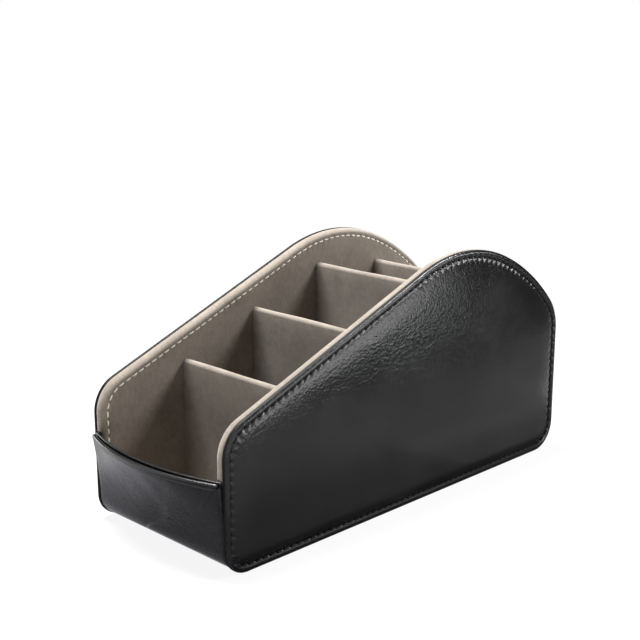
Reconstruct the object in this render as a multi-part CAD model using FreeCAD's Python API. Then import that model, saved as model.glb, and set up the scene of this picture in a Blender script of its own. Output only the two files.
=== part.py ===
"""Desk caddy with two tall leather-covered sides, a bowed front and five upright pockets.

Lengths are millimetres. X runs across the caddy, Y from the front to the back, Z up.
The origin is the middle of the footprint, on the surface that the caddy stands on.
Inside this file the front edge of the sides lies at y = 0 until place() moves each piece.
"""
import FreeCAD, Part
import math
import os

from FreeCAD import Vector

# Overall size
overall_width = 95.0
side_length = 240.0

# Outline of a side, seen from the right
front_corner_radius = 12.5
slope_front_height = 65.0
slope_angle = 21.8
front_top_radius = 17.5
crest_run = 113.6
crest_radius = 84.5
crest_end_angle = -22.7
rear_slope_radius = 122.0
rear_shoulder_radius = 25.4
rear_corner_radius = 15.0

# Layers of a side: a leather-covered board and a padded lining
board_thickness = 2.2
board_outer_bevel = 0.6
board_inner_bevel = 0.4
lining_thickness = 4.6
lining_inset = 0.1
lining_round = 2.6

# Pressed lines that the stitches lie in, round each board and each lining
seam_inset = 3.3
lining_seam_inset = 3.9
seam_width = 0.9
seam_depth = 0.3

# One strip folded round the bottom: front wall, base and back wall
strip_thickness = 3.0
strip_inset = 1.0
strip_shoulder = 1.2
wall_drop = 11.2
front_bow = 9.0
front_lean = 3.5
front_padding = 1.0
front_top_thickness = 3.1

# Rolled edges on top of the front and back walls
roll_width = 1.9
roll_height = 2.1
roll_overhang = 0.4
roll_end_gap = 0.4
binding_height = 2.5
binding_setback = 0.1
rail_gap = 0.3

# Linings of the front, floor and back, and the dividers
sheet_thickness = 1.2
glue_gap = 0.3
divider_count = 4
divider_thickness = 4.0
divider_drop = 14.5

# The front wall is lofted through this many levels
loft_levels = 5

half_width = overall_width / 2
strip_half = half_width - board_thickness
pocket_half = strip_half - lining_thickness
inner_inset = strip_inset + strip_thickness
pocket_inset = inner_inset + sheet_thickness
inner_bow = front_bow - front_padding
rail_half = strip_half - roll_end_gap
thinnest_wall = min(strip_thickness, front_top_thickness)
binding_width = thinnest_wall + roll_overhang - roll_width - binding_setback - rail_gap
slope = math.radians(slope_angle)


def point(y, z, x=0.0):
    return Vector(x, y, z)


def outline_arcs():
    """Centre, radius and the two normal angles of each arc, from the base round by the front and top."""
    front_top_z = slope_front_height - front_top_radius * math.tan((math.pi / 2 - slope) / 2)
    crest_y = side_length - crest_run
    crest_z = slope_front_height + crest_y * math.tan(slope)
    crest_end = math.radians(crest_end_angle)
    crest_centre = (crest_y + crest_radius * math.sin(slope), crest_z - crest_radius * math.cos(slope))
    slope_change = crest_radius - rear_slope_radius
    rear_centre = (
        crest_centre[0] + slope_change * -math.sin(crest_end),
        crest_centre[1] + slope_change * math.cos(crest_end),
    )
    shoulder_y = side_length - rear_shoulder_radius
    shoulder_reach = rear_slope_radius - rear_shoulder_radius
    rear_end = -math.asin((shoulder_y - rear_centre[0]) / shoulder_reach)
    shoulder_z = rear_centre[1] + shoulder_reach * math.cos(rear_end)
    up = math.pi / 2
    return [
        ((front_corner_radius, front_corner_radius), front_corner_radius, -up, -math.pi),
        ((front_top_radius, front_top_z), front_top_radius, math.pi, up + slope),
        (crest_centre, crest_radius, up + slope, up + crest_end),
        (rear_centre, rear_slope_radius, up + crest_end, up + rear_end),
        ((shoulder_y, shoulder_z), rear_shoulder_radius, up + rear_end, 0.0),
        ((side_length - rear_corner_radius, rear_corner_radius), rear_corner_radius, 0.0, -up),
    ]


arcs = outline_arcs()
front_turn_z = arcs[1][0][1]
rear_turn_z = arcs[4][0][1]
front_wall_top = front_turn_z - wall_drop
back_wall_top = rear_turn_z - wall_drop


def on_arc(centre, radius, angle):
    return point(centre[0] + radius * math.cos(angle), centre[1] + radius * math.sin(angle))


def side_face(inset):
    """The side's outline drawn in by inset: every arc is tangent to the straight run beside it."""
    edges = []
    runs = []
    for centre, radius, start, end in arcs:
        angles = (start, (start + end) / 2, end)
        runs.append([on_arc(centre, radius - inset, angle) for angle in angles])
    for index, corners in enumerate(runs):
        edges.append(Part.Arc(*corners).toShape())
        following = runs[(index + 1) % len(runs)][0]
        if corners[2].distanceToPoint(following) > 0.001:
            edges.append(Part.LineSegment(corners[2], following).toShape())
    return Part.Face(Part.Wire(edges))


def side_slab(inset, x_start, thickness):
    """The side's outline as a slab that starts at x_start."""
    slab = side_face(inset).extrude(Vector(thickness, 0, 0))
    slab.translate(Vector(x_start, 0, 0))
    return slab


def rim_edges(slab, x):
    """The edges of a slab's rim that lie in the plane at x."""
    return [edge for edge in slab.Edges if edge.BoundBox.XMin > x - 0.01 and edge.BoundBox.XMax < x + 0.01]


def side_height(y):
    """Height of the side's edge at y: where an upright line leaves the outline."""
    upright = Part.makeLine(point(y, front_corner_radius), point(y, side_length))
    return upright.common(side_face(0.0)).BoundBox.ZMax


def bow_share(level):
    """How far the front wall leans out at a level from 0 to 1: an arc that starts upright."""
    return 1 - math.cos(level * math.pi / 2)


def plan_section(z, outer_end, outer_bow, inner_end, inner_rise, half, shoulder=0.0):
    """A closed section of a wall, bowed outside and inside, with bevelled outer shoulders."""

    def arc_or_line(start, middle, end):
        straight = abs(middle.y - (start.y + end.y) / 2) < 0.001
        return (Part.LineSegment(start, end) if straight else Part.Arc(start, middle, end)).toShape()

    left_outer = point(outer_end, z, shoulder - half)
    right_outer = point(outer_end, z, half - shoulder)
    left_shoulder = point(outer_end + shoulder, z, -half)
    right_shoulder = point(outer_end + shoulder, z, half)
    left_inner = point(inner_end, z, -half)
    right_inner = point(inner_end, z, half)
    edges = [
        arc_or_line(left_outer, point(outer_end - outer_bow, z), right_outer),
        Part.LineSegment(right_shoulder, right_inner).toShape(),
        arc_or_line(right_inner, point(inner_end - inner_rise, z), left_inner),
        Part.LineSegment(left_inner, left_shoulder).toShape(),
    ]
    if shoulder > 0:
        edges.insert(1, Part.LineSegment(right_outer, right_shoulder).toShape())
        edges.append(Part.LineSegment(left_shoulder, left_outer).toShape())
    return Part.Wire(edges)


def wall_inner_end(share):
    """Y of the front wall's inner face beside the sides."""
    leaning = strip_inset - front_lean + front_top_thickness
    return inner_inset + (leaning - inner_inset) * share


def levels():
    for step in range(loft_levels):
        level = step / (loft_levels - 1)
        z = front_corner_radius + (front_wall_top - front_corner_radius) * level
        yield z, bow_share(level)


def front_wall():
    """Straight where it leaves the fold, bowed forward and leaning out at its top edge."""
    sections = []
    for z, share in levels():
        sections.append(plan_section(
            z, strip_inset - front_lean * share, front_bow * share,
            wall_inner_end(share), inner_bow * share, strip_half, strip_shoulder))
    return Part.makeLoft(sections, True)


def folded_band(inset, thickness, half, shoulder=0.0):
    """Base, both bottom folds and the back wall: one section swept along the side's outline."""
    fold_front = front_corner_radius - inset
    fold_back = rear_corner_radius - inset
    middle = math.sqrt(0.5)
    front_centre = (front_corner_radius, front_corner_radius)
    back_centre = (side_length - rear_corner_radius, rear_corner_radius)
    back_y = side_length - inset
    path = Part.Wire([
        Part.Arc(
            point(inset, front_centre[1]),
            point(front_centre[0] - fold_front * middle, front_centre[1] - fold_front * middle),
            point(front_centre[0], inset)).toShape(),
        Part.LineSegment(point(front_centre[0], inset), point(back_centre[0], inset)).toShape(),
        Part.Arc(
            point(back_centre[0], inset),
            point(back_centre[0] + fold_back * middle, back_centre[1] - fold_back * middle),
            point(back_y, back_centre[1])).toShape(),
        Part.LineSegment(point(back_y, back_centre[1]), point(back_y, back_wall_top)).toShape(),
    ])
    section = plan_section(front_centre[1], inset, 0.0, inset + thickness, 0.0, half, shoulder)
    return path.makePipeShell([section], True, False)


def wrap_strip():
    band = folded_band(strip_inset, strip_thickness, strip_half, strip_shoulder)
    return band.fuse(front_wall()).removeSplitter()


def lining_clearance():
    """All that lies outside the strip's inner face beside the linings, up to the tops of the walls."""
    reach = 30.0
    room = side_slab(inner_inset, -overall_width, 2 * overall_width)
    wide = 2 * overall_width
    below = Part.makeBox(
        wide, side_length + 2 * reach, front_corner_radius + reach, Vector(-overall_width, -reach, -reach))
    behind = Part.makeBox(
        wide, side_length / 2 + reach, back_wall_top + binding_height + reach,
        Vector(-overall_width, side_length / 2, -reach))
    outside = below.fuse(behind).cut(room)
    sections = []
    for z, share in levels():
        sections.append(plan_section(z, -reach, 0.0, wall_inner_end(share), 0.0, strip_half))
    ahead = Part.makeLoft(sections, True)
    top = Part.Face(sections[-1]).extrude(Vector(0, 0, binding_height + glue_gap))
    return outside.fuse([ahead, top])


def seam_ring(x, inset):
    """A pressed line as a thin ring that reaches seam_depth to both sides of the plane at x."""
    outer = side_slab(inset - seam_width / 2, x - seam_depth, 2 * seam_depth)
    inner = side_slab(inset + seam_width / 2, x - seam_depth, 2 * seam_depth)
    return outer.cut(inner)


def side_board(x_start, x_outer):
    """Leather-covered board with a turned edge, bevelled outside and more finely beside the lining."""
    board = side_slab(0.0, x_start, board_thickness)
    x_inner = x_start + board_thickness if x_outer == x_start else x_start
    board = board.makeChamfer(board_outer_bevel, rim_edges(board, x_outer))
    board = board.makeChamfer(board_inner_bevel, rim_edges(board, x_inner))
    return board.cut(seam_ring(x_outer, seam_inset))


def side_lining(x_start, x_inner, clearance):
    """Padded lining with a soft round at its inner rim, cut to sit inside the folded strip."""
    lining = side_slab(lining_inset, x_start, lining_thickness)
    lining = lining.makeFillet(lining_round, rim_edges(lining, x_inner))
    return lining.cut([seam_ring(x_inner, lining_seam_inset), clearance])


def half_round_face(near, width, base, top):
    """Upright section of the given width with a full-round top."""
    far = near + width
    shoulder_z = top - width / 2
    return Part.Face(Part.Wire([
        Part.LineSegment(point(near, base), point(near, shoulder_z)).toShape(),
        Part.Arc(point(near, shoulder_z), point(near + width / 2, top), point(far, shoulder_z)).toShape(),
        Part.LineSegment(point(far, shoulder_z), point(far, base)).toShape(),
        Part.LineSegment(point(far, base), point(near, base)).toShape(),
    ]))


def bevelled_face(near, width, base, top):
    """Upright section of the given width whose top is bevelled on both sides."""
    far = near + width
    bevel = width / 3
    corners = [
        (near, base), (near, top - bevel), (near + bevel, top),
        (far - bevel, top), (far, top - bevel), (far, base), (near, base)]
    return Part.Face(Part.makePolygon([point(y, z) for y, z in corners]))


def straight_bar(section, half):
    """A section drawn straight across the caddy."""
    bar = section.extrude(Vector(2 * half, 0, 0))
    bar.translate(Vector(-half, 0, 0))
    return bar


def bow_centre(end_y, bow, half):
    return end_y - bow + (half * half + bow * bow) / (2 * bow)


def bowed_bar(section, centre_y, half):
    """A section at the middle of the bow, turned about the bow's centre to both sides."""
    centre = point(centre_y, 0)
    half_angle = math.degrees(math.asin(half / (centre_y - section.BoundBox.YMin)))
    section.rotate(centre, Vector(0, 0, 1), -half_angle)
    return section.revolve(centre, Vector(0, 0, 1), 2 * half_angle)


def front_edge_roll():
    end_y = strip_inset - front_lean - roll_overhang
    centre_y = bow_centre(end_y, front_bow, rail_half)
    section = half_round_face(end_y - front_bow, roll_width, front_wall_top, front_wall_top + roll_height)
    return bowed_bar(section, centre_y, rail_half)


def front_inner_binding():
    end_y = wall_inner_end(1.0) - binding_setback - binding_width
    centre_y = bow_centre(end_y, inner_bow, strip_half)
    section = bevelled_face(end_y - inner_bow, binding_width, front_wall_top, front_wall_top + binding_height)
    return bowed_bar(section, centre_y, strip_half)


def back_edge_roll():
    near = side_length - strip_inset + roll_overhang - roll_width
    section = half_round_face(near, roll_width, back_wall_top, back_wall_top + roll_height)
    return straight_bar(section, rail_half)


def back_inner_binding():
    near = side_length - inner_inset + binding_setback
    section = bevelled_face(near, binding_width, back_wall_top, back_wall_top + binding_height)
    return straight_bar(section, rail_half)


def front_lining():
    """A sheet that follows the inner face of the bowed wall."""
    sections = []
    for z, share in levels():
        outer_end = wall_inner_end(share) + glue_gap
        sections.append(plan_section(
            z, outer_end, inner_bow * share, outer_end + sheet_thickness, inner_bow * share, pocket_half))
    return Part.makeLoft(sections, True, True)


def folded_lining():
    """One sheet on the inside of the strip: front fold, floor, rear fold and back wall."""
    return folded_band(inner_inset, sheet_thickness, pocket_half)


def divider(index):
    """An upright covered card with a full-round top that follows the fall of the sides."""
    pitch = (side_length - 2 * pocket_inset) / (divider_count + 1)
    middle = pocket_inset + pitch * (index + 1)
    top = side_height(middle) - divider_drop
    section = half_round_face(middle - divider_thickness / 2, divider_thickness, pocket_inset, top)
    return straight_bar(section, pocket_half)


def build():
    clearance = lining_clearance()
    pieces = {
        "right_side_board": side_board(strip_half, half_width),
        "left_side_board": side_board(-half_width, -half_width),
        "right_side_lining": side_lining(pocket_half, pocket_half, clearance),
        "left_side_lining": side_lining(-strip_half, -pocket_half, clearance),
        "wrap_strip": wrap_strip(),
        "front_edge_roll": front_edge_roll(),
        "front_inner_binding": front_inner_binding(),
        "front_lining": front_lining(),
        "folded_lining": folded_lining(),
        "back_edge_roll": back_edge_roll(),
        "back_inner_binding": back_inner_binding(),
    }
    for index in range(divider_count):
        pieces["divider_%d" % (index + 1)] = divider(index)
    return pieces


def place(pieces):
    """Move the pieces so that the origin is the middle of the footprint."""
    box = Part.makeCompound(list(pieces.values())).optimalBoundingBox(False)
    shift = Vector(0, -(box.YMin + box.YMax) / 2, 0)
    for piece in pieces.values():
        piece.translate(shift)


def main():
    os.makedirs("parts", exist_ok=True)
    pieces = build()
    place(pieces)
    for name, piece in pieces.items():
        piece.exportStep("parts/%s.step" % name)
        box = piece.optimalBoundingBox(False)
        print("%-20s solids %d valid %s volume %8.0f  y %7.2f %7.2f  z %6.2f %6.2f" % (
            name, len(piece.Solids), piece.isValid(), piece.Volume, box.YMin, box.YMax, box.ZMin, box.ZMax))


main()
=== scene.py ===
# %% [markdown]
# # A leather desk caddy, one piece at a time
#
# The caddy has two tall sides of black leather over card, each with a padded suede lining, one
# leather strip folded round the bottom for the front wall, base and back wall, and four upright
# dividers. The packed model gives every piece its place. The first cell loads it.

# %% The frame
import math
import random

import bmesh
import bpy
from mathutils import Matrix, Vector


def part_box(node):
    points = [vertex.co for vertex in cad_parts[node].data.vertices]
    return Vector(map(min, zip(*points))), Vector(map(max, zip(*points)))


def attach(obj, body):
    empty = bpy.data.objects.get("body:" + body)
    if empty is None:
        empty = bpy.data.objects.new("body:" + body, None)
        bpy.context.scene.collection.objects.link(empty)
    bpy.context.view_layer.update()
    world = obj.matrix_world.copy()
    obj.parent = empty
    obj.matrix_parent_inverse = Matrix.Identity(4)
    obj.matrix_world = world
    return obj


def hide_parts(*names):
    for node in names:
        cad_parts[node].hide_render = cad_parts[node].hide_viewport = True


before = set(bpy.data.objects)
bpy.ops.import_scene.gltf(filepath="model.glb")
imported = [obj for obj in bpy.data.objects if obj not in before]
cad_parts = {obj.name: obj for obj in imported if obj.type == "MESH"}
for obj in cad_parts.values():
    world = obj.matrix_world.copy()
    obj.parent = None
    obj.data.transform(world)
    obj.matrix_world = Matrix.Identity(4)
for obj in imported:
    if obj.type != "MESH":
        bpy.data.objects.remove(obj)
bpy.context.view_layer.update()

MM = 0.001
UP = math.pi / 2
print("nodes:", len(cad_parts))

# %% [markdown]
# ## Tools for working by hand
#
# Blender's operators act on whatever is selected. So each step starts by choosing one piece, and
# then faces, edges or points by their place, which is what a hand with a mouse would do. The
# helpers below keep those two habits in one place each.

# %% Choosing a piece and its parts
def choose(piece=None):
    """Make one piece, or nothing, the only thing selected, out of edit mode."""
    if bpy.context.object and bpy.context.object.mode != "OBJECT":
        bpy.ops.object.mode_set(mode="OBJECT")
    bpy.ops.object.select_all(action="DESELECT")
    if piece:
        piece.select_set(True)
        bpy.context.view_layer.objects.active = piece


def start(add, name, **settings):
    """Add a primitive with nothing else selected, and open it in edit mode, all selected."""
    choose()
    add(**settings)
    piece = bpy.context.object
    piece.name = name
    bpy.ops.object.transform_apply(location=True, rotation=True, scale=True)
    bpy.ops.object.mode_set(mode="EDIT")
    bpy.ops.mesh.select_mode(type="VERT")
    bpy.ops.mesh.select_all(action="SELECT")
    return piece


def pick(piece, kind, test):
    """Select the points, edges or faces of the open piece that pass a test."""
    bpy.ops.mesh.select_mode(type=kind)
    bpy.ops.mesh.select_all(action="DESELECT")
    mesh = bmesh.from_edit_mesh(piece.data)
    parts = {"VERT": mesh.verts, "EDGE": mesh.edges, "FACE": mesh.faces}[kind]
    count = 0
    for part in parts:
        if test(part):
            part.select = True
            count += 1
    mesh.select_flush_mode()
    bmesh.update_edit_mesh(piece.data, loop_triangles=False, destructive=False)
    return count


def all_near(part, axis, place):
    """True if every corner of an edge or face lies at one place along an axis."""
    return all(abs(corner.co[axis] - place) < 0.02 * MM for corner in part.verts)


# %% [markdown]
# ### Soft moves
#
# With a mouse, proportional editing moves near points far and far points little. In code, a vertex
# group holds each point's share and a Displace modifier moves it by that share. One helper can then
# dip a seam, bow a wall or roughen a card. An S curve and a bell curve give soft shares.

# %% Moving points by a share
def push(piece, distance, direction, share):
    """Move points along X, Y, Z or NORMAL by distance times their share, from 0 to 1."""
    choose(piece)
    group = piece.vertex_groups.new(name="share")
    for corner in piece.data.vertices:
        weight = share(corner.co)
        if weight > 0.0:
            group.add([corner.index], min(weight, 1.0), "REPLACE")
    shape = piece.modifiers.new("push", "DISPLACE")
    shape.vertex_group = "share"
    shape.direction = direction
    shape.strength = distance
    shape.mid_level = 0.0
    bpy.ops.object.modifier_apply(modifier="push")
    piece.vertex_groups.clear()


def within(value, low=0.0, high=1.0):
    """Where a value lies between low and high, as a share from 0 to 1."""
    return min(max((value - low) / (high - low), 0.0), 1.0)


def smoothstep(low, high, value):
    """0 below low, 1 above high, and an even S between."""
    share = within(value, low, high)
    return share * share * (3 - 2 * share)


def bell(value, middle, width):
    """A soft bump of height 1 at middle."""
    return math.exp(-((value - middle) / width) ** 2)


print("a quarter up the S: %.2f, one width off the bell: %.2f"
      % (smoothstep(0.0, 1.0, 0.25), bell(1.0, 0.0, 1.0)))

# %% [markdown]
# ### Finishing a piece
#
# Every piece ends in the same way. Doubled points are merged first, so that its faces can be turned
# outwards over one closed skin. Then it gets smooth shading, a material and the body that it rides
# on, and the solids that it stands for are hidden.

# %% Finishing
MERGE_REACH = 0.002 * MM


def face_out():
    """Turn every face of the open piece outwards."""
    bpy.ops.mesh.select_all(action="SELECT")
    bpy.ops.mesh.normals_make_consistent(inside=False)


def finish_piece(piece, material, nodes=(), smooth_angle=38):
    """Outward faces, smooth shading, a finish and the body it rides on; the nodes it stands for are
    hidden.
    """
    choose(piece)
    bpy.ops.object.mode_set(mode="EDIT")
    bpy.ops.mesh.select_all(action="SELECT")
    bpy.ops.mesh.remove_doubles(threshold=MERGE_REACH)
    face_out()
    bpy.ops.object.mode_set(mode="OBJECT")
    bpy.ops.object.shade_smooth_by_angle(angle=math.radians(smooth_angle))
    piece.data.materials.clear()
    piece.data.materials.append(material)
    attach(piece, "root")
    if nodes:
        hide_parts(*nodes)
    print("%-22s %6d faces" % (piece.name, len(piece.data.polygons)))


print("points closer than %.3f mm are merged" % (MERGE_REACH / MM))

# %% [markdown]
# ## The camera first
#
# The picture was taken from the right and slightly above, about 60 cm away. With the camera in place
# from the start, every piece can be held against the picture as soon as it is made.

# %% Camera
camera_data = bpy.data.cameras.new("camera")
camera_data.lens = 68.33
camera_data.sensor_width = 36.0
camera = bpy.data.objects.new("camera", camera_data)
camera.location = (0.41210, -0.42227, 0.23654)
camera.rotation_euler = (math.radians(75.71), 0.0, math.radians(45.03))
bpy.context.scene.collection.objects.link(camera)
bpy.context.scene.camera = camera
print("camera at", tuple(round(c, 3) for c in camera.location))

# %% [markdown]
# ## A side's edge as arcs and straight runs
#
# Each side is one closed outline of six arcs, and every arc is tangent to what comes before and
# after it. The same numbers drive the solid model. Keeping the outline as arcs and runs pays off
# three times: a single point can be spun and extruded along it, the stitches can be spaced evenly
# on it, and any point of the leather can be asked how far it is from the edge.

# %% The six arcs
board_low, board_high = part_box("right_side_board")
FRONT, REAR = board_low.y, board_high.y
STRIP_HALF, HALF_WIDTH = board_low.x, board_high.x
POCKET_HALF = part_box("right_side_lining")[0].x
FOLD_FRONT, FOLD_BACK = 12.5 * MM, 15.0 * MM
FRONT_CORNER, CREST, REAR_SLOPE, SHOULDER = 17.5 * MM, 84.5 * MM, 122.0 * MM, 25.4 * MM
SLOPE_FOOT = 65.0 * MM
CREST_FROM_REAR = 113.6 * MM
SLOPE, CREST_END = math.radians(21.8), math.radians(-22.7)
TOUCH = 0.01 * MM


def side_arcs():
    """Centre, radius and both normal angles of each arc, from the base round by front and top."""
    length = REAR - FRONT
    front_top_z = SLOPE_FOOT - FRONT_CORNER * math.tan((UP - SLOPE) / 2)
    crest_y = length - CREST_FROM_REAR
    crest_z = SLOPE_FOOT + crest_y * math.tan(SLOPE)
    crest = (crest_y + CREST * math.sin(SLOPE), crest_z - CREST * math.cos(SLOPE))
    change = CREST - REAR_SLOPE
    rear = (crest[0] - change * math.sin(CREST_END), crest[1] + change * math.cos(CREST_END))
    shoulder_y = length - SHOULDER
    reach = REAR_SLOPE - SHOULDER
    rear_end = -math.asin((shoulder_y - rear[0]) / reach)
    shoulder_z = rear[1] + reach * math.cos(rear_end)
    arcs = [
        ((FOLD_FRONT, FOLD_FRONT), FOLD_FRONT, -UP, -math.pi),
        ((FRONT_CORNER, front_top_z), FRONT_CORNER, math.pi, UP + SLOPE),
        (crest, CREST, UP + SLOPE, UP + CREST_END),
        (rear, REAR_SLOPE, UP + CREST_END, UP + rear_end),
        ((shoulder_y, shoulder_z), SHOULDER, UP + rear_end, 0.0),
        ((length - FOLD_BACK, FOLD_BACK), FOLD_BACK, 0.0, -UP),
    ]
    return [((centre[0] + FRONT, centre[1]), *rest) for centre, *rest in arcs]


def on_arc(centre, radius, angle):
    return (centre[0] + radius * math.cos(angle), centre[1] + radius * math.sin(angle))


def side_stretches(inset):
    """The outline drawn in by inset: arcs, and the straight runs between them."""
    arcs = side_arcs()
    stretches = []
    for index, (centre, radius, begin, end) in enumerate(arcs):
        stretches.append(("arc", centre, radius - inset, begin, end))
        here = on_arc(centre, radius - inset, end)
        centre, radius, begin, end = arcs[(index + 1) % len(arcs)]
        there = on_arc(centre, radius - inset, begin)
        if math.dist(here, there) > TOUCH:
            stretches.append(("run", here, there))
    return stretches


EDGE = side_stretches(0.0)
print("a side's edge: %d arcs and runs" % len(EDGE))

# %% [markdown]
# ### Asking the outline
#
# Three questions come up again and again: how long a stretch is, where a distance along the line
# ends up, and how far along and how far inside the line a given point lies. Each has its function.

# %% Lengths and places on a line
def stretch_length(stretch):
    if stretch[0] == "arc":
        return stretch[2] * abs(stretch[3] - stretch[4])
    return math.dist(stretch[1], stretch[2])


def line_total(stretches):
    return sum(map(stretch_length, stretches))


def place_on(stretches, travel):
    """The point and the direction of travel at a distance along the line, as (y, z) pairs."""
    for stretch in stretches:
        length = stretch_length(stretch)
        if travel <= length:
            break
        travel -= length
    if stretch[0] == "arc":
        centre, radius, begin, end = stretch[1:]
        angle = begin + (end - begin) * travel / length
        turn = math.copysign(1.0, end - begin)
        return on_arc(centre, radius, angle), (-math.sin(angle) * turn, math.cos(angle) * turn)
    here, there = stretch[1:]
    way = ((there[0] - here[0]) / length, (there[1] - here[1]) / length)
    return (here[0] + way[0] * travel, here[1] + way[1] * travel), way


def nearest_on(stretches, y, z):
    """How far along the line the nearest point is, and how far inside it (y, z) lies."""
    best = None
    passed = 0.0
    for stretch in stretches:
        length = stretch_length(stretch)
        found = None
        if stretch[0] == "arc":
            centre, radius, begin, end = stretch[1:]
            angle = math.atan2(z - centre[1], y - centre[0])
            while angle > begin + 0.0001:
                angle -= 2 * math.pi
            while angle < end - 0.0001:
                angle += 2 * math.pi
            if angle <= begin + 0.0001:
                inside = radius - math.dist(centre, (y, z))
                found = (abs(inside), passed + radius * (begin - angle), inside)
        else:
            here, way = stretch[1], place_on([stretch], 0.0)[1]
            travel = (y - here[0]) * way[0] + (z - here[1]) * way[1]
            if -TOUCH <= travel <= length + TOUCH:
                inside = (y - here[0]) * way[1] - (z - here[1]) * way[0]
                found = (abs(inside), passed + travel, inside)
        if found:
            best = min(best, found) if best else found
        passed += length
    return best[1], best[2]


print("edge of a side: %.1f mm round" % (line_total(EDGE) / MM))

# %% [markdown]
# ## Drawing a line of points
#
# A line begins as one point. Spin carries it round an arc and extrude along a run, and then the long
# runs are cut into even steps. The steps are a sixth of a stitch, so that the leather can pucker
# between stitches later. Spin in code turns clockwise as seen from the positive end of its axis.

# %% Tracing with spin and extrude
SEAM_INSET = 3.3 * MM
seam_line = side_stretches(SEAM_INSET)
STITCH_COUNT = 146
STITCH_PITCH = line_total(seam_line) / STITCH_COUNT
STEP = STITCH_PITCH / 6


def trace(name, x, stretches, step=STEP, closed=True):
    """One point carried along arcs and runs in the plane at x."""
    piece = start(bpy.ops.mesh.primitive_plane_add, name, size=MM)
    bpy.ops.mesh.merge(type="CENTER")
    first = place_on(stretches, 0.0)[0]
    bpy.ops.transform.translate(value=(x, first[0], first[1]))
    for stretch in stretches:
        if stretch[0] == "arc":
            centre, radius, begin, end = stretch[1:]
            steps = max(3, round(stretch_length(stretch) / step))
            bpy.ops.mesh.spin(steps=steps, angle=begin - end, center=(x, *centre), axis=(1, 0, 0))
        else:
            here, there = stretch[1:]
            move = (0.0, there[0] - here[0], there[1] - here[1])
            bpy.ops.mesh.extrude_vertices_move(TRANSFORM_OT_translate={"value": move})
    if closed:
        bpy.ops.mesh.select_all(action="SELECT")
        bpy.ops.mesh.remove_doubles(threshold=TOUCH)
    mesh = bmesh.from_edit_mesh(piece.data)
    runs = [[tuple(c.co) for c in e.verts] for e in mesh.edges if e.calc_length() > 1.6 * step]
    for ends in runs:
        pick(piece, "EDGE", lambda e: all(
            min(math.dist(c.co, end) for end in ends) < 1e-7 for c in e.verts))
        bpy.ops.mesh.subdivide(number_cuts=max(1, round(math.dist(*ends) / step) - 1))
    return piece


print("stitch pitch %.2f mm, %d stitches" % (STITCH_PITCH / MM, STITCH_COUNT))

# %% [markdown]
# ## Shader maths in plain words
#
# A shader is a graph, but most of it is sums. The class below wraps one socket, so that
# `1 - grain * 0.3` writes its own Math nodes.

# %% Sockets as numbers
class Amount:
    """One shader socket that can be added, multiplied and compared in an expression."""

    def __init__(self, finish, socket):
        self.finish = finish
        self.socket = socket

    def sum(self, operation, first, second):
        return self.finish.node("Math", {"operation": operation}, {0: first, 1: second})

    def __add__(self, other):
        return self.sum("ADD", self, other)

    def __radd__(self, other):
        return self.sum("ADD", other, self)

    def __sub__(self, other):
        return self.sum("SUBTRACT", self, other)

    def __rsub__(self, other):
        return self.sum("SUBTRACT", other, self)

    def __mul__(self, other):
        return self.sum("MULTIPLY", self, other)

    def __rmul__(self, other):
        return self.sum("MULTIPLY", other, self)

    def __truediv__(self, other):
        return self.sum("DIVIDE", self, other)

    def at_least(self, other):
        return self.sum("MAXIMUM", self, other)

    def at_most(self, other):
        return self.sum("MINIMUM", self, other)

    def step_up(self, low, high):
        """0 below low and 1 above high, with a soft change between."""
        settings = {"interpolation_type": "SMOOTHSTEP"}
        return self.finish.node("MapRange", settings, {0: self, 1: low, 2: high, 3: 0.0, 4: 1.0})


print("sums on sockets:", [name for name in vars(Amount) if name.startswith("at_")])

# %% [markdown]
# ### One method for every other node
#
# Everything that isn't a sum goes through one method that takes the node's type, its settings and
# its inputs. The short methods after it name the few nodes that this caddy's finishes share.

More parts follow.
